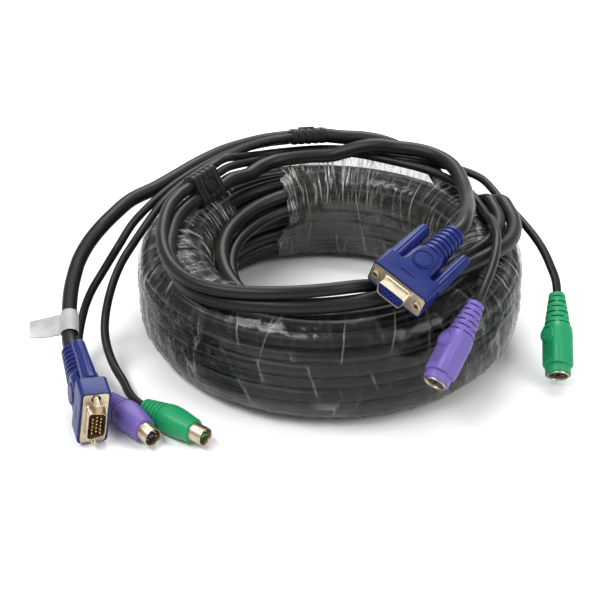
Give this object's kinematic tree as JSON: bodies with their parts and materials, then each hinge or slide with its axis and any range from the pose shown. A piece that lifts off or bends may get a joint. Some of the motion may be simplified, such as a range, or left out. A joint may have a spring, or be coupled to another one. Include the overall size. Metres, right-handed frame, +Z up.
{
  "type": "kvm extension cable",
  "caption": "Long keyboard, video and mouse extension cable, coiled in clear stretch film, with a colour-coded plug or socket on each lead.",
  "frame": {"origin": "centre of the coil at the surface it lies on", "axes": "+Z up, along the coil's axis; -Y towards the camera of the picture; +X to its right"},
  "size_m": [0.28, 0.2236, 0.0893],
  "materials": {
    "jacket": "satin charcoal cable jacket",
    "film": "clear wrinkled stretch film",
    "blue_plastic": "satin moulded blue",
    "purple_plastic": "satin moulded purple",
    "green_plastic": "satin moulded green",
    "nickel": "nickel plate",
    "black_plastic": "satin black",
    "dark_purple_plastic": "satin dark purple",
    "label_paper": "bare white label"
  },
  "bodies": {
    "cable": {"wound_trunk": "jacket", "plug_end_junction": "jacket", "socket_end_junction": "jacket", "plug_video_lead": "jacket", "plug_keyboard_lead": "jacket", "plug_mouse_lead": "jacket", "socket_video_lead": "jacket", "socket_keyboard_lead": "jacket", "socket_mouse_lead": "jacket", "plug_tail_video_strand": "jacket", "plug_tail_data_strand": "jacket", "socket_tail_video_strand": "jacket", "socket_tail_data_strand": "jacket", "inner_turn_video_strand": "jacket", "inner_turn_data_strand": "jacket", "stretch_film": "film", "lead_label": "label_paper", "video_plug_hood": "blue_plastic", "video_socket_hood": "blue_plastic", "video_socket_insert": "blue_plastic", "video_plug_insert": "black_plastic", "video_plug_shell": "nickel", "video_socket_shell": "nickel", "keyboard_plug_shell": "nickel", "mouse_plug_shell": "nickel", "keyboard_socket_ring": "nickel", "mouse_socket_ring": "nickel", "keyboard_plug_body": "purple_plastic", "keyboard_socket_body": "purple_plastic", "mouse_plug_body": "green_plastic", "mouse_socket_body": "green_plastic", "mouse_plug_insert": "green_plastic", "keyboard_plug_insert": "dark_purple_plastic", "keyboard_socket_insert": "black_plastic", "mouse_socket_insert": "black_plastic"},
    "plug_knob_upper": {"video_plug_knob_upper": "blue_plastic", "video_plug_screw_upper": "nickel"},
    "plug_knob_lower": {"video_plug_knob_lower": "blue_plastic", "video_plug_screw_lower": "nickel"},
    "socket_knob_left": {"video_socket_knob_left": "blue_plastic", "video_socket_nut_left": "nickel"},
    "socket_knob_right": {"video_socket_knob_right": "blue_plastic", "video_socket_nut_right": "nickel"}
  },
  "joints": [
    {"name": "plug_knob_upper_turn", "type": "hinge", "parent": "cable", "child": "plug_knob_upper", "pos_m": [-0.12038, -0.0874, 0.03363], "axis": [0.3259, -0.9326, -0.1549], "continuous": true},
    {"name": "plug_knob_lower_turn", "type": "hinge", "parent": "cable", "child": "plug_knob_lower", "pos_m": [-0.12418, -0.08464, 0.00907], "axis": [0.3259, -0.9326, -0.1549], "continuous": true},
    {"name": "socket_knob_left_turn", "type": "hinge", "parent": "cable", "child": "socket_knob_left", "pos_m": [0.03991, -0.05641, 0.08393], "axis": [-0.5881, -0.7942, -0.153], "continuous": true},
    {"name": "socket_knob_right_turn", "type": "hinge", "parent": "cable", "child": "socket_knob_right", "pos_m": [0.05918, -0.06874, 0.07385], "axis": [-0.5881, -0.7942, -0.153], "continuous": true}
  ]
}
